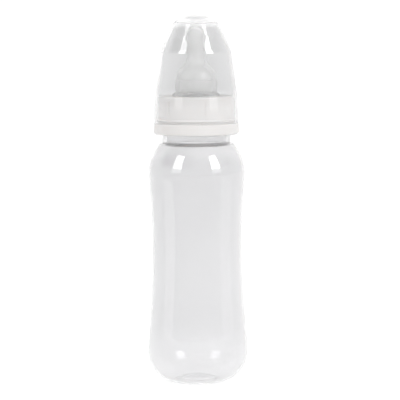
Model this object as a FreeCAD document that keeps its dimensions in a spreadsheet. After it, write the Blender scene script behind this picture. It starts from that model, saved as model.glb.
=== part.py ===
import FreeCAD, Part
import math
import os
import Sketcher

# Waisted baby bottle, standard neck, about 250 ml.
#
# Frame: millimetres, +Z up, the bottle stands on z = 0 and its axis is the
# Z axis, so the origin is the centre of the foot ring on the table.
# Four separate pieces, stacked on one axis:
#   bottle      blow-moulded body with a threaded neck
#   nipple      silicone teat, its flange clamped between ring and neck rim
#   screw_ring  threaded collar with a wide lower flange
#   hood        clear protective cap that sits on the flange

doc = FreeCAD.newDocument("baby_bottle")

# ---------------------------------------------------------------- dimensions
DIMS = [
    # bottle body, outer surface
    ("widest_rad", 28.1), ("widest_height", 17.6), ("corner_rad", 18.0),
    ("waist_rad", 24.95), ("waist_height", 75.0), ("waist_curve", 400.0),
    ("shoulder_curve", 27.2), ("shoulder_height", 117.0), ("shoulder_top", 134.7),
    ("wall_thick", 1.1),
    ("foot_inner_rad", 12.0), ("pushup_edge_rad", 11.4), ("pushup_edge_height", 0.6),
    ("pushup_height", 3.4),
    # neck finish
    ("neck_rad", 19.2), ("collar_top", 141.0), ("thread_root_rad", 18.3),
    ("rim_height", 157.8), ("bore_rad", 16.9), ("rim_round", 0.35),
    ("inner_shoulder_end", 133.5), ("bore_start", 135.6),
    # screw thread, right hand, single start
    ("thread_pitch", 4.0), ("thread_crest_rad", 19.55),
    ("male_start", 144.8), ("male_turns", 1.9), ("male_root_wide", 2.0), ("male_crest_wide", 1.0),
    ("female_start", 146.8), ("female_turns", 2.2), ("female_root_wide", 2.2), ("female_crest_wide", 1.2),
    ("female_crest_rad", 18.95),
    # screw ring
    ("flange_rad", 23.7), ("flange_bottom", 139.8), ("flange_top", 146.0),
    ("flange_inner_rad", 22.2), ("flange_recess_top", 143.4), ("skirt_inner_start", 144.6),
    ("skirt_rad", 21.5), ("skirt_inner_rad", 20.0), ("ring_top", 161.2),
    ("plate_under", 159.6), ("ring_hole_rad", 12.6), ("ring_edge_round", 1.0),
    ("flange_round", 1.1), ("bead_rad", 22.22), ("bead_height", 147.9), ("bead_half", 0.7),
    ("rib_count", 6.0), ("rib_wide", 0.9), ("rib_proud", 0.35), ("rib_low", 150.6), ("rib_high", 158.6),
    # nipple
    ("teat_flange_rad", 19.0), ("teat_flange_low", 157.85), ("teat_flange_high", 159.55),
    ("teat_groove_rad", 12.5), ("teat_lip_low", 161.25), ("teat_lip_rad", 13.5),
    ("teat_base_rad", 11.8), ("teat_base_top", 169.8), ("teat_dome_rad", 9.4),
    ("teat_dome_height", 170.3), ("teat_dome_offset", 1.9), ("teat_nub_low_rad", 5.25), ("teat_nub_rad", 5.45),
    ("teat_nub_height", 194.3), ("teat_wall", 1.6), ("teat_hole_rad", 0.4),
    ("plug_outer_rad", 16.5), ("plug_inner_rad", 14.9), ("plug_low", 156.4),
    ("vent_rad", 0.5), ("vent_place", 13.8),
    # hood
    ("hood_low", 146.1), ("hood_rad", 23.5), ("hood_skirt_top", 149.3), ("hood_curve", 110.0),
    ("hood_wall", 1.2), ("hood_shoulder_round", 7.0), ("hood_crown", 19.0), ("hood_top", 206.7),
    ("hood_shoulder_centre_rad", 12.792), ("hood_shoulder_centre_height", 184.495),
    ("hood_corner_centre_height", 198.4), ("hood_corner_round", 6.0), ("hood_ceiling", 201.7), ("hood_ceiling_round", 0.8),
    ("hood_flank_curve", 170.0),
    # moulded volume scale on the back
    ("scale_proud", 0.22), ("scale_bar_high", 0.7), ("scale_long", 9.0), ("scale_short", 5.0),
    ("scale_step_ml", 30.0), ("scale_last_ml", 240.0),
]
sheet = doc.addObject("Spreadsheet::Sheet", "Dims")
sheet.Label = "Dims"
D = {}
for row, (alias, value) in enumerate(DIMS, start=1):
    sheet.set("A%d" % row, alias)
    sheet.set("B%d" % row, "%g" % value)
    sheet.setAlias("B%d" % row, alias)
    D[alias] = float(value)
doc.recompute()


# ------------------------------------------------------------------- helpers
def vec(p):
    return FreeCAD.Vector(p[0], p[1], 0)


def origin_plane(body, role):
    for item in body.Origin.OriginFeatures:
        if item.Role == role:
            return item
    raise RuntimeError("no plane " + role)


def new_body(name):
    body = doc.addObject("PartDesign::Body", name)
    body.Label = name
    return body


def new_sketch(body, name, role="XZ_Plane"):
    sk = body.newObject("Sketcher::SketchObject", name)
    sk.AttachmentSupport = [(origin_plane(body, role), "")]
    sk.MapMode = "FlatFace"
    return sk


def profile(sk, chain, smooth=(), dims=(), same_centre=(), tag=""):
    """Closed outline from a chain of pieces, in order.

    ("L", p, q)               straight line from p to q
    ("A", c, p, q, ccw)       arc about c from p to q
    smooth: indexes of the joints (end of piece i) that are tangent
    dims:   (kind, piece, which, expression); kind x or y places a point,
            radius sets an arc, which is p, q or c
    same_centre: pairs of arcs that are concentric
    """
    ids = []
    ends = []
    for piece in chain:
        if piece[0] == "L":
            ids.append(sk.addGeometry(Part.LineSegment(vec(piece[1]), vec(piece[2])), False))
            ends.append((1, 2))
        else:
            c, p, q, ccw = piece[1:]
            rad = math.hypot(p[0] - c[0], p[1] - c[1])
            a0 = math.atan2(p[1] - c[1], p[0] - c[0])
            a1 = math.atan2(q[1] - c[1], q[0] - c[0])
            if not ccw:
                a0, a1 = a1, a0
            if a1 < a0:
                a1 += 2 * math.pi
            ids.append(sk.addGeometry(Part.ArcOfCircle(Part.Circle(vec(c), FreeCAD.Vector(0, 0, 1), rad), a0, a1), False))
            ends.append((1, 2) if ccw else (2, 1))
    n = len(chain)
    for i in range(n):
        j = (i + 1) % n
        kind = "Tangent" if i in smooth else "Coincident"
        sk.addConstraint(Sketcher.Constraint(kind, ids[i], ends[i][1], ids[j], ends[j][0]))
    for i, piece in enumerate(chain):
        if piece[0] == "L":
            (x0, y0), (x1, y1) = piece[1], piece[2]
            if abs(x0 - x1) < 1e-9 and i not in smooth and (i - 1) % n not in smooth:
                sk.addConstraint(Sketcher.Constraint("Vertical", ids[i]))
            elif abs(y0 - y1) < 1e-9 and i not in smooth and (i - 1) % n not in smooth:
                sk.addConstraint(Sketcher.Constraint("Horizontal", ids[i]))
    for i, j in same_centre:
        sk.addConstraint(Sketcher.Constraint("Coincident", ids[i], 3, ids[j], 3))
    for k, (kind, i, which, expr) in enumerate(dims):
        pos = 3 if which == "c" else (ends[i][0] if which == "p" else ends[i][1])
        if kind == "radius":
            c, p = chain[i][1], chain[i][2]
            idx = sk.addConstraint(Sketcher.Constraint("Radius", ids[i], math.hypot(p[0] - c[0], p[1] - c[1])))
        else:
            point = chain[i][1] if which in ("p", "c") else chain[i][2]
            if chain[i][0] == "A":
                point = {"c": chain[i][1], "p": chain[i][2], "q": chain[i][3]}[which]
            value = point[0] if kind == "x" else point[1]
            idx = sk.addConstraint(Sketcher.Constraint("DistanceX" if kind == "x" else "DistanceY",
                                                       -1, 1, ids[i], pos, value))
        name = "%s%s_%d" % (sk.Name, tag, k)
        sk.renameConstraint(idx, name)
        sk.setExpression("Constraints." + name, expr)
    code = sk.solve()
    if code != 0:
        raise RuntimeError("sketch %s does not solve: %s" % (sk.Name, code))
    return ids


def revolve(body, sk, name):
    rev = body.newObject("PartDesign::Revolution", name)
    rev.Profile = sk
    rev.ReferenceAxis = (sk, ["V_Axis"])
    rev.Angle = 360.0
    sk.Visibility = False
    return rev


def dim(alias):
    return "Dims." + alias


def thread(body, name, buried_rad, root_rad, crest_rad, start, root_wide, crest_wide, turns):
    """A helical ridge of trapezoid section on a wall of radius root_rad.

    The section runs a little into the wall, to buried_rad, so that the ridge
    and the wall share volume.
    """
    sk = new_sketch(body, name + "_section")
    z = D[start]
    grow = (D[root_wide] - D[crest_wide]) / 2.0 / (D[crest_rad] - D[root_rad])
    half_b = D[root_wide] / 2.0 + grow * (D[root_rad] - buried_rad)
    half_c = D[crest_wide] / 2.0
    p = [(buried_rad, z - half_b), (D[crest_rad], z - half_c), (D[crest_rad], z + half_c), (buried_rad, z + half_b)]
    chain = [("L", p[0], p[1]), ("L", p[1], p[2]), ("L", p[2], p[3]), ("L", p[3], p[0])]
    profile(sk, chain, dims=[
        ("x", 0, "q", dim(crest_rad)), ("y", 0, "q", "%s - %s / 2" % (dim(start), dim(crest_wide))),
        ("y", 1, "q", "%s + %s / 2" % (dim(start), dim(crest_wide))),
    ])
    helix = body.newObject("PartDesign::AdditiveHelix", name)
    helix.Profile = sk
    helix.ReferenceAxis = (sk, ["V_Axis"])
    helix.Mode = "pitch-turns-angle"
    helix.Pitch = D["thread_pitch"]
    helix.Turns = D[turns]
    helix.LeftHanded = False
    helix.Reversed = False
    helix.setExpression("Pitch", dim("thread_pitch"))
    helix.setExpression("Turns", dim(turns))
    sk.Visibility = False
    doc.recompute()
    return helix


# -------------------------------------------------------------------- bottle
# Outer profile: four tangent arcs, base corner, bulge, waist and shoulder.
Rm, zw, Rc = D["widest_rad"], D["widest_height"], D["corner_rad"]
corner_c = (Rm - Rc, zw)
waist_c = (D["waist_rad"] + D["waist_curve"], D["waist_height"])
Rw = D["waist_curve"]
# bulge arc: starts vertical at the widest point and runs into the waist
dz = D["waist_height"] - zw
gap = Rm - D["waist_rad"]
bulge_rad = (dz * dz / gap - gap - 2.0 * (Rw - gap)) / 2.0
bulge_c = (Rm - bulge_rad, zw)
# shoulder arc: its centre height is given, the waist arc touches it
Rs = D["shoulder_curve"]
dzs = D["shoulder_height"] - D["waist_height"]
shoulder_c = (waist_c[0] - math.sqrt((Rw + Rs) ** 2 - dzs ** 2), D["shoulder_height"])


def towards(a, b, dist):
    length = math.hypot(b[0] - a[0], b[1] - a[1])
    return (a[0] + (b[0] - a[0]) * dist / length, a[1] + (b[1] - a[1]) * dist / length)


def at_height(c, rad, z):
    return (c[0] + math.sqrt(rad * rad - (z - c[1]) ** 2), z)


def at_radius_low(c, rad, r):
    return (r, c[1] - math.sqrt(rad * rad - (r - c[0]) ** 2))


t = D["wall_thick"]
foot_out = (corner_c[0] + math.sqrt(Rc ** 2 - zw ** 2), 0.0)
foot_in = (D["foot_inner_rad"], 0.0)
pu_edge = (D["pushup_edge_rad"], D["pushup_edge_height"])
sag = D["pushup_height"] - D["pushup_edge_height"]
pu_rad = (D["pushup_edge_rad"] ** 2 + sag ** 2) / (2 * sag)
pu_c = (0.0, D["pushup_height"] - pu_rad)
bulge_end = towards(bulge_c, waist_c, bulge_rad)
waist_end = towards(waist_c, shoulder_c, Rw)
sh_end = at_height(shoulder_c, Rs, D["shoulder_top"])
rr = D["rim_round"]
# the same arcs, one wall further in
bulge_in = towards(bulge_c, waist_c, bulge_rad - t)
waist_in = towards(waist_c, shoulder_c, Rw + t)
sh_in_end = at_height(shoulder_c, Rs - t, D["inner_shoulder_end"])
corner_in_end = at_radius_low(corner_c, Rc - t, 12.4)
pu_in_end = (10.6, pu_c[1] + math.sqrt((pu_rad + t) ** 2 - 10.6 ** 2))

bottle = new_body("bottle")
sk = new_sketch(bottle, "bottle_section")
chain = [
    ("A", pu_c, (0.0, D["pushup_height"]), pu_edge, False),                      # 0 push-up
    ("L", pu_edge, foot_in),                                                     # 1
    ("L", foot_in, foot_out),                                                    # 2 foot ring
    ("A", corner_c, foot_out, (Rm, zw), True),                                   # 3 base corner
    ("A", bulge_c, (Rm, zw), bulge_end, True),                                   # 4 bulge
    ("A", waist_c, bulge_end, waist_end, False),                                 # 5 waist
    ("A", shoulder_c, waist_end, sh_end, True),                                  # 6 shoulder
    ("L", sh_end, (D["neck_rad"], D["shoulder_top"])),                           # 7 ledge
    ("L", (D["neck_rad"], D["shoulder_top"]), (D["neck_rad"], D["collar_top"])), # 8 neck
    ("L", (D["neck_rad"], D["collar_top"]), (D["thread_root_rad"], D["collar_top"] + 1.0)),  # 9
    ("L", (D["thread_root_rad"], D["collar_top"] + 1.0), (D["thread_root_rad"], D["rim_height"] - rr)),  # 10
    ("A", (D["thread_root_rad"] - rr, D["rim_height"] - rr), (D["thread_root_rad"], D["rim_height"] - rr),
     (D["thread_root_rad"] - rr, D["rim_height"]), True),                        # 11
    ("L", (D["thread_root_rad"] - rr, D["rim_height"]), (D["bore_rad"] + rr, D["rim_height"])),  # 12 rim
    ("A", (D["bore_rad"] + rr, D["rim_height"] - rr), (D["bore_rad"] + rr, D["rim_height"]),
     (D["bore_rad"], D["rim_height"] - rr), True),                               # 13
    ("L", (D["bore_rad"], D["rim_height"] - rr), (D["bore_rad"], D["bore_start"])),  # 14 bore
    ("L", (D["bore_rad"], D["bore_start"]), sh_in_end),                          # 15
    ("A", shoulder_c, sh_in_end, waist_in, False),                               # 16
    ("A", waist_c, waist_in, bulge_in, True),                                    # 17
    ("A", bulge_c, bulge_in, (Rm - t, zw), False),                               # 18
    ("A", corner_c, (Rm - t, zw), corner_in_end, False),                         # 19
    ("L", corner_in_end, pu_in_end),                                             # 20
    ("A", pu_c, pu_in_end, (0.0, D["pushup_height"] + t), True),                 # 21
    ("L", (0.0, D["pushup_height"] + t), (0.0, D["pushup_height"])),             # 22 axis
]
profile(sk, chain, smooth=(3, 4, 5, 16, 17, 18), same_centre=((16, 6), (17, 5), (18, 4), (19, 3), (21, 0)), dims=[
    ("x", 0, "p", "0"), ("y", 0, "p", dim("pushup_height")),
    ("x", 0, "c", "0"),
    ("x", 1, "p", dim("pushup_edge_rad")), ("y", 1, "p", dim("pushup_edge_height")),
    ("x", 1, "q", dim("foot_inner_rad")), ("y", 1, "q", "0"),
    ("radius", 3, "c", dim("corner_rad")), ("x", 3, "q", dim("widest_rad")), ("y", 3, "q", dim("widest_height")),
    ("y", 3, "c", dim("widest_height")),
    ("y", 5, "c", dim("waist_height")), ("x", 5, "c", dim("waist_rad") + " + " + dim("waist_curve")),
    ("radius", 5, "c", dim("waist_curve")),
    ("radius", 6, "c", dim("shoulder_curve")), ("y", 6, "c", dim("shoulder_height")),
    ("y", 6, "q", dim("shoulder_top")),
    ("x", 8, "p", dim("neck_rad")), ("y", 8, "q", dim("collar_top")),
    ("x", 10, "p", dim("thread_root_rad")), ("y", 10, "p", dim("collar_top") + " + 1"),
    ("y", 12, "p", dim("rim_height")), ("x", 14, "p", dim("bore_rad")), ("y", 14, "q", dim("bore_start")),
    ("y", 15, "q", dim("inner_shoulder_end")),
    ("radius", 16, "c", dim("shoulder_curve") + " - " + dim("wall_thick")),
    ("y", 22, "p", dim("pushup_height") + " + " + dim("wall_thick")),
])
revolve(bottle, sk, "bottle_shell")
doc.recompute()
shell_volume = bottle.Shape.Volume
thread(bottle, "neck_thread", D["thread_root_rad"] - 0.3, "thread_root_rad", "thread_crest_rad",
       "male_start", "male_root_wide", "male_crest_wide", "male_turns")
print("bottle shell %.0f mm3, with thread %.0f mm3" % (shell_volume, bottle.Shape.Volume))


# Volume scale: raised bars on the back of the waist, at the fill heights of
# the cavity itself.
def cavity_rad(z):
    if z < corner_c[1]:
        if z < pu_in_end[1]:
            low = corner_in_end[0] if z < corner_in_end[1] else 0.0
            return 0.0 if low else math.sqrt(max(0.0, (Rc - t) ** 2 - (z - corner_c[1]) ** 2)) + corner_c[0]
        return corner_c[0] + math.sqrt((Rc - t) ** 2 - (z - corner_c[1]) ** 2)
    if z < bulge_in[1]:
        return bulge_c[0] + math.sqrt((bulge_rad - t) ** 2 - (z - bulge_c[1]) ** 2)
    if z < waist_in[1]:
        return waist_c[0] - math.sqrt((Rw + t) ** 2 - (z - waist_c[1]) ** 2)
    if z < D["inner_shoulder_end"]:
        return shoulder_c[0] + math.sqrt((Rs - t) ** 2 - (z - shoulder_c[1]) ** 2)
    if z < D["bore_start"]:
        k = (z - D["inner_shoulder_end"]) / (D["bore_start"] - D["inner_shoulder_end"])
        return sh_in_end[0] + k * (D["bore_rad"] - sh_in_end[0])
    return D["bore_rad"]


def floor_rad(z):
    """Radius of the push-up, which stands in the cavity's foot."""
    if z < pu_c[1] + pu_rad + t:
        return math.sqrt(max(0.0, (pu_rad + t) ** 2 - (z - pu_c[1]) ** 2))
    return 0.0


step = 0.05
levels, volume, z = {}, 0.0, corner_in_end[1]
want = D["scale_step_ml"]
while z < D["rim_height"]:
    area = math.pi * max(0.0, cavity_rad(z + step / 2) ** 2 - floor_rad(z + step / 2) ** 2)
    volume += area * step / 1000.0
    z += step
    if volume >= want and want <= D["scale_last_ml"] + 1e-6:
        levels[want] = z
        want += D["scale_step_ml"]
print("brim volume %.0f ml, fill heights %s" % (volume, {int(k): round(v, 1) for k, v in levels.items()}))


def wall_rad(z):
    """Outer radius of the waist."""
    return waist_c[0] - math.sqrt(Rw ** 2 - (z - waist_c[1]) ** 2)


# every second bar is a long one; each bar is a strip turned about the axis
before = bottle.Shape.Volume
bar_count = 0
for kind, first in (("scale_short", 0), ("scale_long", 1)):
    chosen = [z for k, (ml, z) in enumerate(sorted(levels.items())) if k % 2 == first]
    chosen = [z for z in chosen if bulge_end[1] + 2.0 < z < waist_end[1] - 2.0]
    sk = new_sketch(bottle, kind + "_section", "YZ_Plane")
    for n, z in enumerate(chosen):
        z0, z1 = z - D["scale_bar_high"] / 2, z + D["scale_bar_high"] / 2
        a0, a1 = wall_rad(z0), wall_rad(z1)
        out = D["scale_proud"]
        chain = [("L", (a0 - 0.5, z0), (a0 + out, z0)), ("L", (a0 + out, z0), (a1 + out, z1)),
                 ("L", (a1 + out, z1), (a1 - 0.5, z1)), ("L", (a1 - 0.5, z1), (a0 - 0.5, z0))]
        profile(sk, chain, tag="_%d" % n, dims=[
            ("y", 0, "p", "%.3f - %s / 2" % (z, dim("scale_bar_high"))),
            ("y", 2, "p", "%.3f + %s / 2" % (z, dim("scale_bar_high"))),
            ("x", 0, "q", "%.4f + %s" % (a0, dim("scale_proud"))),
            ("x", 1, "q", "%.4f + %s" % (a1, dim("scale_proud"))),
        ])
        bar_count += 1
    strip = bottle.newObject("PartDesign::Revolution", kind + "_bars")
    strip.Profile = sk
    strip.ReferenceAxis = (sk, ["V_Axis"])
    strip.Midplane = True
    strip.Angle = math.degrees(D[kind] / D["waist_rad"])
    strip.setExpression("Angle", "%s / %s * 180 / pi" % (dim(kind), dim("waist_rad")))
    sk.Visibility = False
    doc.recompute()
print("%d scale bars, %.2f mm3 proud of the wall, bottle %.0f mm3" % (bar_count, bottle.Shape.Volume - before, bottle.Shape.Volume))

# ---------------------------------------------------------------- screw ring
ring = new_body("screw_ring")
sk = new_sketch(ring, "ring_section")
fr, fb, ft = D["flange_rad"], D["flange_bottom"], D["flange_top"]
fro, sr, ro = D["flange_round"], D["skirt_rad"], D["ring_edge_round"]
top, hole, under = D["ring_top"], D["ring_hole_rad"], D["plate_under"]
small = 0.3
bead_gap = D["bead_rad"] - sr
bead_round = (bead_gap ** 2 + D["bead_half"] ** 2) / (2 * bead_gap)
bead_c = (D["bead_rad"] - bead_round, D["bead_height"])
b0 = (sr, D["bead_height"] - D["bead_half"])
b1 = (sr, D["bead_height"] + D["bead_half"])
chain = [
    ("L", (D["flange_inner_rad"], fb), (fr - fro, fb)),                    # 0 underside of the flange
    ("A", (fr - fro, fb + fro), (fr - fro, fb), (fr, fb + fro), True),      # 1
    ("L", (fr, fb + fro), (fr, ft - 0.4)),                                  # 2
    ("A", (fr - 0.4, ft - 0.4), (fr, ft - 0.4), (fr - 0.4, ft), True),      # 3
    ("L", (fr - 0.4, ft), (sr, ft)),                                        # 4 ledge for the hood
    ("L", (sr, ft), b0),                                                    # 5
    ("A", bead_c, b0, b1, True),                                            # 6 friction bead
    ("L", b1, (sr, top - ro)),                                              # 7 skirt
    ("A", (sr - ro, top - ro), (sr, top - ro), (sr - ro, top), True),       # 8
    ("L", (sr - ro, top), (hole + small, top)),                             # 9 top plate
    ("A", (hole + small, top - small), (hole + small, top), (hole, top - small), True),  # 10
    ("L", (hole, top - small), (hole, under)),                              # 11 hole for the teat
    ("L", (hole, under), (D["skirt_inner_rad"], under)),                    # 12
    ("L", (D["skirt_inner_rad"], under), (D["skirt_inner_rad"], D["skirt_inner_start"])),  # 13
    ("L", (D["skirt_inner_rad"], D["skirt_inner_start"]), (D["flange_inner_rad"], D["flange_recess_top"])),  # 14
    ("L", (D["flange_inner_rad"], D["flange_recess_top"]), (D["flange_inner_rad"], fb)),   # 15
]
profile(sk, chain, dims=[
    ("y", 0, "p", dim("flange_bottom")), ("x", 15, "p", dim("flange_inner_rad")),
    ("x", 2, "p", dim("flange_rad")), ("radius", 1, "c", dim("flange_round")),
    ("y", 4, "p", dim("flange_top")), ("x", 5, "p", dim("skirt_rad")),
    ("radius", 8, "c", dim("ring_edge_round")), ("y", 9, "p", dim("ring_top")),
    ("x", 11, "p", dim("ring_hole_rad")), ("y", 12, "p", dim("plate_under")),
    ("x", 13, "p", dim("skirt_inner_rad")), ("y", 13, "q", dim("skirt_inner_start")),
    ("y", 14, "q", dim("flange_recess_top")),
])
revolve(ring, sk, "ring_turned")
doc.recompute()
thread(ring, "ring_thread", D["skirt_inner_rad"] + 0.3, "skirt_inner_rad", "female_crest_rad",
       "female_start", "female_root_wide", "female_crest_wide", "female_turns")
before = ring.Shape.Volume
# six low ribs on the skirt; the first is 15 degrees right of the front
sk = new_sketch(ring, "rib_section", "XY_Plane")
sk.AttachmentOffset = FreeCAD.Placement(FreeCAD.Vector(0, 0, D["rib_low"]), FreeCAD.Rotation(FreeCAD.Vector(0, 0, 1), -75.0))
x0, x1, hw = sr - 0.5, sr + D["rib_proud"], D["rib_wide"] / 2
chain = [("L", (x0, -hw), (x1, -hw + 0.15)), ("L", (x1, -hw + 0.15), (x1, hw - 0.15)),
         ("L", (x1, hw - 0.15), (x0, hw)), ("L", (x0, hw), (x0, -hw))]
profile(sk, chain, dims=[
    ("x", 1, "p", dim("skirt_rad") + " + " + dim("rib_proud")),
    ("y", 3, "p", dim("rib_wide") + " / 2"), ("y", 3, "q", "-" + dim("rib_wide") + " / 2"),
])
rib = ring.newObject("PartDesign::Pad", "rib")
rib.Profile = sk
rib.Length = D["rib_high"] - D["rib_low"]
rib.setExpression("Length", dim("rib_high") + " - " + dim("rib_low"))
sk.Visibility = False
doc.recompute()
ribs = ring.newObject("PartDesign::PolarPattern", "ribs")
ribs.Originals = [rib]
ribs.Axis = (sk, ["N_Axis"])
ribs.Angle = 360.0
ribs.Occurrences = int(D["rib_count"])
ribs.setExpression("Occurrences", dim("rib_count"))
ring.Tip = ribs
doc.recompute()
print("screw ring %.0f mm3, six ribs add %.2f mm3" % (ring.Shape.Volume, ring.Shape.Volume - before))

# -------------------------------------------------------------------- nipple
nipple = new_body("nipple")
sk = new_sketch(nipple, "nipple_section")
lo, hi = D["teat_flange_low"], D["teat_flange_high"]
w = D["teat_wall"]
dome_c = (D["teat_dome_offset"], D["teat_dome_height"])
Rd = D["teat_dome_rad"]
turn = math.radians(50.0)
Rn = (dome_c[0] + Rd * math.cos(turn) - D["teat_nub_low_rad"]) / (1.0 - math.cos(turn))
dome_end = (dome_c[0] + Rd * math.cos(turn), dome_c[1] + Rd * math.sin(turn))
neck_c = (dome_c[0] + (Rd + Rn) * math.cos(turn), dome_c[1] + (Rd + Rn) * math.sin(turn))
nub_low = (D["teat_nub_low_rad"], neck_c[1])
tip_c = (0.0, D["teat_nub_height"])
Rt, hr = D["teat_nub_rad"], D["teat_hole_rad"]
dome_in = (dome_c[0] + (Rd - w) * math.cos(turn), dome_c[1] + (Rd - w) * math.sin(turn))
inner_rad = D["teat_base_rad"] - w
chain = [
    ("L", (inner_rad, lo), (D["plug_inner_rad"], lo)),                                  # 0
    ("L", (D["plug_inner_rad"], lo), (D["plug_inner_rad"] + 0.2, D["plug_low"])),       # 1
    ("L", (D["plug_inner_rad"] + 0.2, D["plug_low"]), (D["plug_outer_rad"] - 0.3, D["plug_low"])),  # 2 seal lip
    ("L", (D["plug_outer_rad"] - 0.3, D["plug_low"]), (D["plug_outer_rad"], lo)),       # 3
    ("L", (D["plug_outer_rad"], lo), (D["teat_flange_rad"], lo)),                       # 4
    ("L", (D["teat_flange_rad"], lo), (D["teat_flange_rad"], hi)),                      # 5 flange
    ("L", (D["teat_flange_rad"], hi), (D["teat_groove_rad"], hi)),                      # 6
    ("L", (D["teat_groove_rad"], hi), (D["teat_groove_rad"], D["teat_lip_low"])),       # 7 groove
    ("L", (D["teat_groove_rad"], D["teat_lip_low"]), (D["teat_lip_rad"], D["teat_lip_low"])),  # 8
    ("L", (D["teat_lip_rad"], D["teat_lip_low"]), (D["teat_lip_rad"], D["teat_lip_low"] + 0.7)),  # 9 snap lip
    ("L", (D["teat_lip_rad"], D["teat_lip_low"] + 0.7), (D["teat_base_rad"], D["teat_lip_low"] + 2.1)),  # 10
    ("L", (D["teat_base_rad"], D["teat_lip_low"] + 2.1), (D["teat_base_rad"], D["teat_base_top"])),  # 11
    ("L", (D["teat_base_rad"], D["teat_base_top"]), (dome_c[0] + Rd, dome_c[1])),       # 12
    ("A", dome_c, (dome_c[0] + Rd, dome_c[1]), dome_end, True),                         # 13 dome
    ("A", neck_c, dome_end, nub_low, False),                                            # 14
    ("L", nub_low, (Rt, tip_c[1])),                                                     # 15 nub
    ("A", tip_c, (Rt, tip_c[1]), (hr, tip_c[1] + math.sqrt(Rt ** 2 - hr ** 2)), True),   # 16 tip
    ("L", (hr, tip_c[1] + math.sqrt(Rt ** 2 - hr ** 2)), (hr, tip_c[1] + math.sqrt((Rt - w) ** 2 - hr ** 2))),  # 17 feed hole
    ("A", tip_c, (hr, tip_c[1] + math.sqrt((Rt - w) ** 2 - hr ** 2)), (Rt - w, tip_c[1]), False),  # 18
    ("L", (Rt - w, tip_c[1]), (nub_low[0] - w, nub_low[1])),                            # 19
    ("A", neck_c, (nub_low[0] - w, nub_low[1]), dome_in, True),                         # 20
    ("A", dome_c, dome_in, (dome_c[0] + Rd - w, dome_c[1]), False),                     # 21
    ("L", (dome_c[0] + Rd - w, dome_c[1]), (inner_rad, D["teat_base_top"] - 0.2)),      # 22
    ("L", (inner_rad, D["teat_base_top"] - 0.2), (inner_rad, lo)),                      # 23
]
profile(sk, chain, smooth=(13, 20), same_centre=((18, 16), (20, 14), (21, 13)), dims=[
    ("y", 0, "p", dim("teat_flange_low")), ("x", 23, "p", dim("teat_base_rad") + " - " + dim("teat_wall")),
    ("x", 1, "p", dim("plug_inner_rad")), ("y", 2, "p", dim("plug_low")), ("x", 3, "q", dim("plug_outer_rad")),
    ("x", 5, "p", dim("teat_flange_rad")), ("y", 6, "p", dim("teat_flange_high")),
    ("x", 7, "p", dim("teat_groove_rad")), ("y", 8, "p", dim("teat_lip_low")), ("x", 9, "p", dim("teat_lip_rad")),
    ("x", 11, "p", dim("teat_base_rad")), ("y", 11, "q", dim("teat_base_top")),
    ("x", 13, "c", dim("teat_dome_offset")), ("y", 13, "c", dim("teat_dome_height")), ("radius", 13, "c", dim("teat_dome_rad")),
    ("y", 13, "p", dim("teat_dome_height")),
    ("x", 15, "p", dim("teat_nub_low_rad")), ("radius", 16, "c", dim("teat_nub_rad")),
    ("x", 16, "c", "0"), ("y", 16, "c", dim("teat_nub_height")), ("y", 15, "q", dim("teat_nub_height")),
    ("x", 17, "p", dim("teat_hole_rad")), ("radius", 18, "c", dim("teat_nub_rad") + " - " + dim("teat_wall")),
])
revolve(nipple, sk, "nipple_turned")
doc.recompute()
before = nipple.Shape.Volume
# air vent through the flange, at the back
sk = new_sketch(nipple, "vent_circle", "XY_Plane")
sk.AttachmentOffset = FreeCAD.Placement(FreeCAD.Vector(0, 0, hi + 0.2), FreeCAD.Rotation())
g = sk.addGeometry(Part.Circle(vec((0.0, D["vent_place"])), FreeCAD.Vector(0, 0, 1), D["vent_rad"]), False)
c = sk.addConstraint(Sketcher.Constraint("Radius", g, D["vent_rad"]))
sk.setExpression("Constraints[%d]" % c, dim("vent_rad"))
c = sk.addConstraint(Sketcher.Constraint("DistanceY", -1, 1, g, 3, D["vent_place"]))
sk.setExpression("Constraints[%d]" % c, dim("vent_place"))
sk.addConstraint(Sketcher.Constraint("PointOnObject", g, 3, -2))
vent = nipple.newObject("PartDesign::Pocket", "vent")
vent.Profile = sk
vent.Length = (hi - lo) + 0.4
sk.Visibility = False
doc.recompute()
print("nipple %.0f mm3, vent removes %.2f mm3" % (nipple.Shape.Volume, before - nipple.Shape.Volume))

# ---------------------------------------------------------------------- hood
hood = new_body("hood")
sk = new_sketch(hood, "hood_section")
hw = D["hood_wall"]
R1, R2, R3, R4 = D["hood_curve"], D["hood_shoulder_round"], D["hood_corner_round"], D["hood_crown"]
z0, zs, ztop, zc, rc = D["hood_low"], D["hood_skirt_top"], D["hood_top"], D["hood_ceiling"], D["hood_ceiling_round"]
skirt_c = (D["hood_rad"] - R1, zs)
should_c = (D["hood_shoulder_centre_rad"], D["hood_shoulder_centre_height"])
crown_c = (0.0, ztop - R4)


def outer_tangent(c0, r0, c1, r1):
    """Direction, from the axis plane, of the normal shared by both circles."""
    dx, dz = c1[0] - c0[0], c1[1] - c0[1]
    dist = math.hypot(dx, dz)
    # n is a unit normal with (c1 - c0).n = r0 - r1, on the outer side
    along = (r0 - r1) / dist
    across = math.sqrt(1.0 - along ** 2)
    ux, uz = dx / dist, dz / dist
    return (ux * along + uz * across, uz * along - ux * across)


n1 = outer_tangent(skirt_c, R1, should_c, R2)
# the corner circle touches the crown from inside
zk = D["hood_corner_centre_height"]
corner2 = (math.sqrt((R4 - R3) ** 2 - (zk - crown_c[1]) ** 2), zk)
n2 = outer_tangent(should_c, R2, corner2, R3)
d2 = (-n2[1], n2[0])


def on(c, rad, n):
    return (c[0] + rad * n[0], c[1] + rad * n[1])


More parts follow.
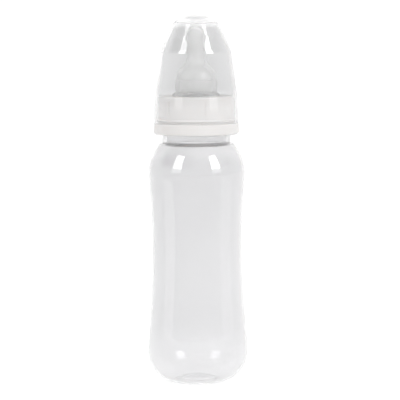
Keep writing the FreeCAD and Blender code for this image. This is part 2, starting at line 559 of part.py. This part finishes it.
# the flank between shoulder and corner is a large arc that holds both circles
R5 = D["hood_flank_curve"]
gx, gz = corner2[0] - should_c[0], corner2[1] - should_c[1]
g = math.hypot(gx, gz)
near = ((R5 - R2) ** 2 - (R5 - R3) ** 2 + g * g) / (2 * g)
off = math.sqrt((R5 - R2) ** 2 - near ** 2)
flank_c = (should_c[0] + near * gx / g - off * gz / g, should_c[1] + near * gz / g + off * gx / g)
n3 = ((should_c[0] - flank_c[0]) / (R5 - R2), (should_c[1] - flank_c[1]) / (R5 - R2))
n4 = ((corner2[0] - flank_c[0]) / (R5 - R3), (corner2[1] - flank_c[1]) / (R5 - R3))
p1, p2 = on(skirt_c, R1, n1), on(should_c, R2, n1)
p3, p4 = on(should_c, R2, n3), on(corner2, R3, n4)
print("hood flank rises from %.1f to %.1f degrees" % (math.degrees(math.asin(n3[1])), math.degrees(math.asin(n4[1]))))
k = math.hypot(corner2[0] - crown_c[0], corner2[1] - crown_c[1])
nk = ((corner2[0] - crown_c[0]) / k, (corner2[1] - crown_c[1]) / k)
p5 = on(crown_c, R4, nk)
q1, q2, q3 = on(skirt_c, R1 - hw, n1), on(should_c, R2 - hw, n1), on(should_c, R2 - hw, n2)
s3 = (zc - rc - (should_c[1] + (R2 - hw - rc) * n2[1])) / d2[1]
ceil_c = (should_c[0] + (R2 - hw - rc) * n2[0] + s3 * d2[0], zc - rc)
q4 = on(ceil_c, rc, n2)
ri = D["hood_rad"] - hw
chain = [
    ("L", (ri, z0), (D["hood_rad"], z0)),                       # 0 lip
    ("L", (D["hood_rad"], z0), (D["hood_rad"], zs)),            # 1 skirt
    ("A", skirt_c, (D["hood_rad"], zs), p1, True),              # 2
    ("L", p1, p2),                                              # 3 lower cone
    ("A", should_c, p2, p3, True),                              # 4 shoulder
    ("A", flank_c, p3, p4, True),                               # 5 flank
    ("A", corner2, p4, p5, True),                               # 6
    ("A", crown_c, p5, (0.0, ztop), True),                      # 7 crown
    ("L", (0.0, ztop), (0.0, zc)),                              # 8 axis
    ("L", (0.0, zc), (ceil_c[0], zc)),                          # 9 flat ceiling
    ("A", ceil_c, (ceil_c[0], zc), q4, False),                  # 10
    ("L", q4, q3),                                              # 11
    ("A", should_c, q3, q2, False),                             # 12
    ("L", q2, q1),                                              # 13
    ("A", skirt_c, q1, (ri, zs), False),                        # 14
    ("L", (ri, zs), (ri, z0)),                                  # 15
]
profile(sk, chain, smooth=(2, 3, 4, 5, 6), same_centre=((14, 2), (12, 4)), dims=[
    ("y", 0, "p", dim("hood_low")), ("x", 15, "q", dim("hood_rad") + " - " + dim("hood_wall")),
    ("x", 1, "p", dim("hood_rad")), ("y", 1, "q", dim("hood_skirt_top")),
    ("radius", 2, "c", dim("hood_curve")), ("y", 2, "c", dim("hood_skirt_top")),
    ("radius", 4, "c", dim("hood_shoulder_round")), ("radius", 5, "c", dim("hood_flank_curve")),
    ("x", 4, "c", dim("hood_shoulder_centre_rad")), ("y", 4, "c", dim("hood_shoulder_centre_height")),
    ("radius", 6, "c", dim("hood_corner_round")), ("y", 6, "c", dim("hood_corner_centre_height")),
    ("radius", 7, "c", dim("hood_crown")), ("x", 7, "c", "0"), ("x", 8, "p", "0"), ("y", 8, "p", dim("hood_top")),
    ("y", 8, "q", dim("hood_ceiling")),
    ("radius", 12, "c", dim("hood_shoulder_round") + " - " + dim("hood_wall")),
    ("y", 15, "p", dim("hood_skirt_top")),
])
revolve(hood, sk, "hood_turned")
doc.recompute()
print("hood %.0f mm3" % hood.Shape.Volume)

# -------------------------------------------------------- placement, checks
pieces = [bottle, nipple, ring, hood]
for piece in pieces:
    piece.Placement = FreeCAD.Placement(FreeCAD.Vector(0, 0, 0), FreeCAD.Rotation())
doc.recompute()

for item in doc.Objects:
    for word in ("Invalid", "Error"):
        if word in item.State:
            raise RuntimeError("%s: %s" % (item.Name, item.State))
for piece in pieces:
    shape = piece.Shape
    if shape.isNull() or not shape.isValid() or len(shape.Solids) != 1:
        raise RuntimeError("%s: bad shape, %d solids" % (piece.Label, len(shape.Solids)))

# the four pieces are clear of each other as they stand
for i, a in enumerate(pieces):
    for b in pieces[i + 1:]:
        common = a.Shape.common(b.Shape).Volume
        dist = a.Shape.distToShape(b.Shape)[0]
        print("%s / %s: shared %.4f mm3, gap %.3f mm" % (a.Label, b.Label, common, dist))
        if common > 0.001:
            raise RuntimeError("%s meets %s" % (a.Label, b.Label))

os.makedirs("parts", exist_ok=True)
for piece in pieces:
    box = piece.Shape.optimalBoundingBox(True, False)
    print("%s: volume %.0f mm3, x %.2f..%.2f y %.2f..%.2f z %.2f..%.2f" % (
        piece.Label, piece.Shape.Volume, box.XMin, box.XMax, box.YMin, box.YMax, box.ZMin, box.ZMax))
    piece.Shape.exportStep(os.path.join("parts", piece.Label + ".step"))
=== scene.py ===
import math

import bpy
from mathutils import Matrix, Vector

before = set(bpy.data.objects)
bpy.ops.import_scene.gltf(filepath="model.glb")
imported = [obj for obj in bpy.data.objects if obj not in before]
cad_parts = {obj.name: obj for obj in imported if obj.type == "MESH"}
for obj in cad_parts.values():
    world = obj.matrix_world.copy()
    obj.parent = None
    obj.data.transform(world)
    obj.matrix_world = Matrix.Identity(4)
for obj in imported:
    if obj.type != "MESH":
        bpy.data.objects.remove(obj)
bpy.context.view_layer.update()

scene = bpy.context.scene
coll = scene.collection


# ------------------------------------------------------------ node helpers
class Nodes:
    def __init__(self, name):
        self.mat = bpy.data.materials.new(name)
        self.mat.use_nodes = True
        self.tree = self.mat.node_tree
        self.tree.nodes.clear()
        self.out = self.tree.nodes.new("ShaderNodeOutputMaterial")

    def add(self, kind, **values):
        n = self.tree.nodes.new(kind)
        for k, v in values.items():
            setattr(n, k, v)
        return n

    def link(self, a, b):
        self.tree.links.new(a, b)

    def coords(self):
        return self.add("ShaderNodeTexCoord").outputs["Object"]

    def scaled(self, vector, x, y, z):
        m = self.add("ShaderNodeMapping")
        m.inputs["Scale"].default_value = (x, y, z)
        self.link(vector, m.inputs["Vector"])
        return m.outputs["Vector"]

    def noise(self, vector, scale, detail=2.0, rough=0.5):
        n = self.add("ShaderNodeTexNoise")
        n.inputs["Scale"].default_value = scale
        n.inputs["Detail"].default_value = detail
        n.inputs["Roughness"].default_value = rough
        self.link(vector, n.inputs["Vector"])
        return n.outputs["Fac"]

    def span(self, value, low, high, from_low=0.3, from_high=0.7):
        r = self.add("ShaderNodeMapRange")
        r.inputs["From Min"].default_value = from_low
        r.inputs["From Max"].default_value = from_high
        r.inputs["To Min"].default_value = low
        r.inputs["To Max"].default_value = high
        self.link(value, r.inputs["Value"])
        return r.outputs["Result"]

    def colours(self, value, a, b):
        r = self.add("ShaderNodeValToRGB")
        r.color_ramp.elements[0].position = 0.3
        r.color_ramp.elements[0].color = (*a, 1)
        r.color_ramp.elements[1].position = 0.7
        r.color_ramp.elements[1].color = (*b, 1)
        self.link(value, r.inputs["Fac"])
        return r.outputs["Color"]

    def bump(self, height, strength, distance, below=None):
        b = self.add("ShaderNodeBump")
        b.inputs["Strength"].default_value = strength
        b.inputs["Distance"].default_value = distance
        self.link(height, b.inputs["Height"])
        if below is not None:
            self.link(below, b.inputs["Normal"])
        return b.outputs["Normal"]

    def lamps_through(self, shader, tint):
        """Lets the lamps shine through, so that what is inside is lit."""
        t = self.add("ShaderNodeBsdfTransparent")
        t.inputs["Color"].default_value = (*tint, 1)
        path = self.add("ShaderNodeLightPath")
        mix = self.add("ShaderNodeMixShader")
        self.link(path.outputs["Is Shadow Ray"], mix.inputs[0])
        self.link(shader.outputs["BSDF"], mix.inputs[1])
        self.link(t.outputs["BSDF"], mix.inputs[2])
        self.link(mix.outputs["Shader"], self.out.inputs["Surface"])

    def principled(self, **values):
        p = self.add("ShaderNodeBsdfPrincipled")
        for k, v in values.items():
            p.inputs[k.replace("_", " ")].default_value = v
        self.link(p.outputs["BSDF"], self.out.inputs["Surface"])
        return p


def bottle_plastic():
    """Milky bottle plastic whose tint is set by height: darker at the waist, lighter at the base and at the
    neck root, where the lighter tint is painted light over shade.
    """
    m = Nodes("milky_polypropylene")
    co = m.coords()
    p = m.principled(Transmission_Weight=0.84, IOR=1.40, Coat_Weight=1.0, Coat_Roughness=0.05, Coat_IOR=1.6)
    wide = m.noise(m.scaled(co, 1, 1, 0.6), 22.0, 2.0)
    fine = m.noise(co, 420.0, 3.0, 0.6)
    split = m.add("ShaderNodeSeparateXYZ")
    m.link(co, split.inputs["Vector"])
    # tint by height: the mid stops are the milky tone; the lighter stops at the base and at the neck root
    # (0.82-0.87) are painted light that lifts shade there
    height_tint_painted_lift = m.add("ShaderNodeValToRGB")
    ramp = height_tint_painted_lift.color_ramp.elements
    ramp[0].color = (0.990, 0.988, 0.995, 1)
    ramp[1].color = (0.930, 0.920, 0.915, 1)
    for place, shade in ((0.08, 0.970), (0.2, 0.903), (0.4, 0.901), (0.55, 0.888), (0.72, 0.882), (0.79, 0.890), (0.82, 0.935), (0.87, 0.925), (0.89, 0.905)):
        ramp.new(place).color = (shade, shade - 0.002, shade + 0.006, 1)
    m.link(m.span(split.outputs["Z"], 0.0, 1.0, 0.0, 0.1578), height_tint_painted_lift.inputs["Fac"])
    # random tone variation times the height tint, which carries the painted lift at the base and neck root
    cloudy_tone_and_painted_lift = m.add("ShaderNodeMix", data_type="RGBA", blend_type="MULTIPLY")
    cloudy_tone_and_painted_lift.inputs[0].default_value = 1.0
    m.link(height_tint_painted_lift.outputs["Color"], cloudy_tone_and_painted_lift.inputs[6])
    m.link(m.colours(wide, (0.99, 0.99, 0.99), (1.0, 1.0, 1.0)), cloudy_tone_and_painted_lift.inputs[7])
    m.link(cloudy_tone_and_painted_lift.outputs[2], p.inputs["Base Color"])
    m.link(m.span(wide, 0.035, 0.055), p.inputs["Roughness"])
    n = m.bump(wide, 0.04, 0.0005)
    n = m.bump(fine, 0.02, 0.00004, n)
    m.link(n, p.inputs["Normal"])
    return m.mat


def clear_plastic():
    """Clear hood whose tint is set by height: darker over the mid dome, lighter over the skirt and the crown;
    the lighter skirt and crown are painted light, lifting the ring seen through the skirt and brightening the
    crown.
    """
    m = Nodes("clear_moulded_plastic")
    co = m.coords()
    p = m.principled(Transmission_Weight=1.0, IOR=1.49, Coat_Roughness=0.02, Coat_IOR=1.5)
    wide = m.noise(m.scaled(co, 1, 1, 0.5), 30.0, 1.0)
    split = m.add("ShaderNodeSeparateXYZ")
    m.link(co, split.inputs["Vector"])
    # tint by height: the darker mid dome is the milky tone; the lighter skirt and crown stops are painted
    # light, the skirt lifting the shaded ring behind it and the crown painted brighter
    hood_tint_painted_lift = m.add("ShaderNodeValToRGB")
    ramp = hood_tint_painted_lift.color_ramp.elements
    ramp[0].color = (0.925, 0.925, 0.929, 1)
    ramp[1].color = (0.98, 0.98, 0.982, 1)
    for place, shade in ((0.15, 0.925), (0.32, 0.815), (0.87, 0.82), (0.90, 0.985)):
        ramp.new(place).color = (shade, shade + 0.001, shade + 0.004, 1)
    m.link(m.span(split.outputs["Z"], 0.0, 1.0, 0.1461, 0.2067), hood_tint_painted_lift.inputs["Fac"])
    # random tone variation times the height tint, which carries the painted lift on the skirt and crown
    haze_and_painted_lift = m.add("ShaderNodeMix", data_type="RGBA", blend_type="MULTIPLY")
    haze_and_painted_lift.inputs[0].default_value = 1.0
    m.link(hood_tint_painted_lift.outputs["Color"], haze_and_painted_lift.inputs[6])
    m.link(m.colours(wide, (0.985, 0.985, 0.985), (1.0, 1.0, 1.0)), haze_and_painted_lift.inputs[7])
    m.link(haze_and_painted_lift.outputs[2], p.inputs["Base Color"])
    m.link(m.span(split.outputs["Z"], 0.0, 1.0, 0.164, 0.176), p.inputs["Coat Weight"])
    satin = m.span(split.outputs["Z"], 0.11, 0.0, 0.155, 0.1615)
    rough = m.add("ShaderNodeMath", operation="ADD")
    m.link(m.span(wide, 0.01, 0.025), rough.inputs[0])
    m.link(satin, rough.inputs[1])
    m.link(rough.outputs["Value"], p.inputs["Roughness"])
    m.link(m.bump(wide, 0.04, 0.0004), p.inputs["Normal"])
    m.lamps_through(p, (1.0, 1.0, 1.0))
    return m.mat


def silicone():
    m = Nodes("clear_silicone")
    co = m.coords()
    p = m.principled(Transmission_Weight=0.73, IOR=1.33, Coat_Weight=0.6, Coat_Roughness=0.03, Coat_IOR=1.5)
    wide = m.noise(co, 60.0, 2.0)
    m.link(m.colours(wide, (0.985, 0.985, 0.98), (0.995, 0.995, 0.99)), p.inputs["Base Color"])
    m.link(m.span(wide, 0.08, 0.13), p.inputs["Roughness"])
    m.link(m.bump(wide, 0.05, 0.0003), p.inputs["Normal"])
    return m.mat


def ring_plastic():
    m = Nodes("white_polypropylene")
    co = m.coords()
    p = m.principled(IOR=1.5, Subsurface_Weight=0.6, Subsurface_Scale=0.003)
    p.inputs["Subsurface Radius"].default_value = (1.0, 0.9, 0.85)
    wide = m.noise(co, 55.0, 2.0)
    fine = m.noise(co, 900.0, 2.0)
    m.link(m.colours(wide, (0.640, 0.627, 0.619), (0.670, 0.657, 0.649)), p.inputs["Base Color"])
    m.link(m.span(wide, 0.34, 0.42), p.inputs["Roughness"])
    m.link(m.bump(fine, 0.05, 0.00004), p.inputs["Normal"])
    return m.mat


MATS = {"bottle": bottle_plastic(), "hood": clear_plastic(), "nipple": silicone(), "screw_ring": ring_plastic()}
for name, mat in MATS.items():
    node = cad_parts[name]
    for s in node.material_slots:
        s.link = "OBJECT"
        s.material = mat


# ------------------------------------------------------------- floor, light
def floor_material():
    m = Nodes("studio_floor")
    co = m.coords()
    p = m.principled(Roughness=0.9, Emission_Strength=0.955)
    p.inputs["Specular IOR Level"].default_value = 0.1
    n = m.noise(co, 6.0, 3.0)
    m.link(m.colours(n, (0.09, 0.09, 0.09), (0.11, 0.11, 0.11)), p.inputs["Base Color"])
    p.inputs["Emission Color"].default_value = (1, 1, 1, 1)
    return m.mat


bpy.ops.mesh.primitive_plane_add(size=60.0, location=(0, 0, -0.0002))
floor = bpy.context.object
floor.name = "studio_floor"
floor.data.materials.append(floor_material())

world = bpy.data.worlds.new("studio")
scene.world = world
world.use_nodes = True
wt = world.node_tree
wt.nodes.clear()
wo = wt.nodes.new("ShaderNodeOutputWorld")
bg = wt.nodes.new("ShaderNodeBackground")
tc = wt.nodes.new("ShaderNodeTexCoord")
sep = wt.nodes.new("ShaderNodeSeparateXYZ")
wt.links.new(tc.outputs["Generated"], sep.inputs["Vector"])
# a light tent; above the horizon a dark flag on the left and a lighter one right
across = wt.nodes.new("ShaderNodeMapRange")
across.inputs["From Min"].default_value = -1.0
across.inputs["From Max"].default_value = 1.0
wt.links.new(sep.outputs["X"], across.inputs["Value"])
flags = wt.nodes.new("ShaderNodeValToRGB")
flags.color_ramp.interpolation = "EASE"
flags.color_ramp.elements[0].color = (0.25, 0.25, 0.25, 1)
flags.color_ramp.elements[1].color = (0.75, 0.75, 0.75, 1)
for place, level in ((0.30, 0.62), (0.53, 0.88), (0.68, 0.95)):
    flags.color_ramp.elements.new(place).color = (level, level, level, 1)
wt.links.new(across.outputs["Result"], flags.inputs["Fac"])
rise = wt.nodes.new("ShaderNodeMapRange")
rise.interpolation_type = "SMOOTHSTEP"
rise.inputs["From Min"].default_value = 0.10
rise.inputs["From Max"].default_value = 0.45
wt.links.new(sep.outputs["Z"], rise.inputs["Value"])
front = wt.nodes.new("ShaderNodeMix")
front.data_type = "FLOAT"
front.inputs[2].default_value = 1.0
wt.links.new(rise.outputs["Result"], front.inputs[0])
wt.links.new(flags.outputs["Color"], front.inputs[3])
back = wt.nodes.new("ShaderNodeMapRange")
back.interpolation_type = "SMOOTHSTEP"
back.inputs["From Min"].default_value = -0.05
back.inputs["From Max"].default_value = 0.50
wt.links.new(sep.outputs["Y"], back.inputs["Value"])
mul = wt.nodes.new("ShaderNodeMix")
mul.data_type = "FLOAT"
wt.links.new(back.outputs["Result"], mul.inputs[0])
wt.links.new(front.outputs[0], mul.inputs[2])
mul.inputs[3].default_value = 1.03
wt.links.new(mul.outputs[0], bg.inputs["Strength"])
bg.inputs["Color"].default_value = (1, 1, 1, 1)
wt.links.new(bg.outputs["Background"], wo.inputs["Surface"])


def softbox(name, az, low, high, wide, dist, watts):
    """A soft light aimed at the bottle; az 0 is the front, + is right."""
    a = math.radians(az)
    light = bpy.data.lights.new(name, "AREA")
    light.shape = "RECTANGLE"
    light.size = wide
    light.size_y = high - low
    light.energy = watts
    o = bpy.data.objects.new(name, light)
    coll.objects.link(o)
    o.location = Vector((dist * math.sin(a), -dist * math.cos(a), (low + high) / 2))
    aim = Vector((0, 0, o.location.z)) - o.location
    o.rotation_euler = aim.to_track_quat("-Z", "Y").to_euler()
    o.visible_camera = False
    return o


softbox("soft_left", -49.5, 0.602, 1.91, 0.76, 1.8, 11.5)
softbox("soft_right", 49.0, 0.602, 1.91, 0.76, 1.8, 16.0)
softbox("low_left", -50.0, 0.170, 0.250, 0.21, 0.5, 0.048)
softbox("low_right", 49.0, 0.170, 0.250, 0.21, 0.5, 0.045)
softbox("side_left", -73.0, 0.020, 0.074, 0.15, 0.3, 0.0065)
softbox("side_right", 76.0, 0.020, 0.074, 0.18, 0.3, 0.0062)

# ------------------------------------------------------------------- camera
cam_data = bpy.data.cameras.new("camera")
cam = bpy.data.objects.new("camera", cam_data)
coll.objects.link(cam)
D0, E0 = 1.5, math.radians(5.22)
target = Vector((0.00177, 0.0, 0.1026))
cam.location = target + Vector((0.0, -D0 * math.cos(E0), D0 * math.sin(E0)))
q = (target - cam.location).to_track_quat("-Z", "Y")
roll = Matrix.Rotation(math.radians(-0.36), 4, "Z")
cam.rotation_euler = (q.to_matrix().to_4x4() @ roll).to_euler()
cam_data.sensor_width = 36.0
cam_data.lens = 36.0 * D0 / 0.2244
cam_data.clip_start = 0.05
cam_data.clip_end = 100.0
scene.camera = cam

scene.view_settings.view_transform = "Standard"
scene.view_settings.look = "None"
scene.view_settings.exposure = 0.0
scene.cycles.max_bounces = 64
scene.cycles.transmission_bounces = 64
scene.cycles.transparent_max_bounces = 32
scene.cycles.glossy_bounces = 32
scene.cycles.diffuse_bounces = 16
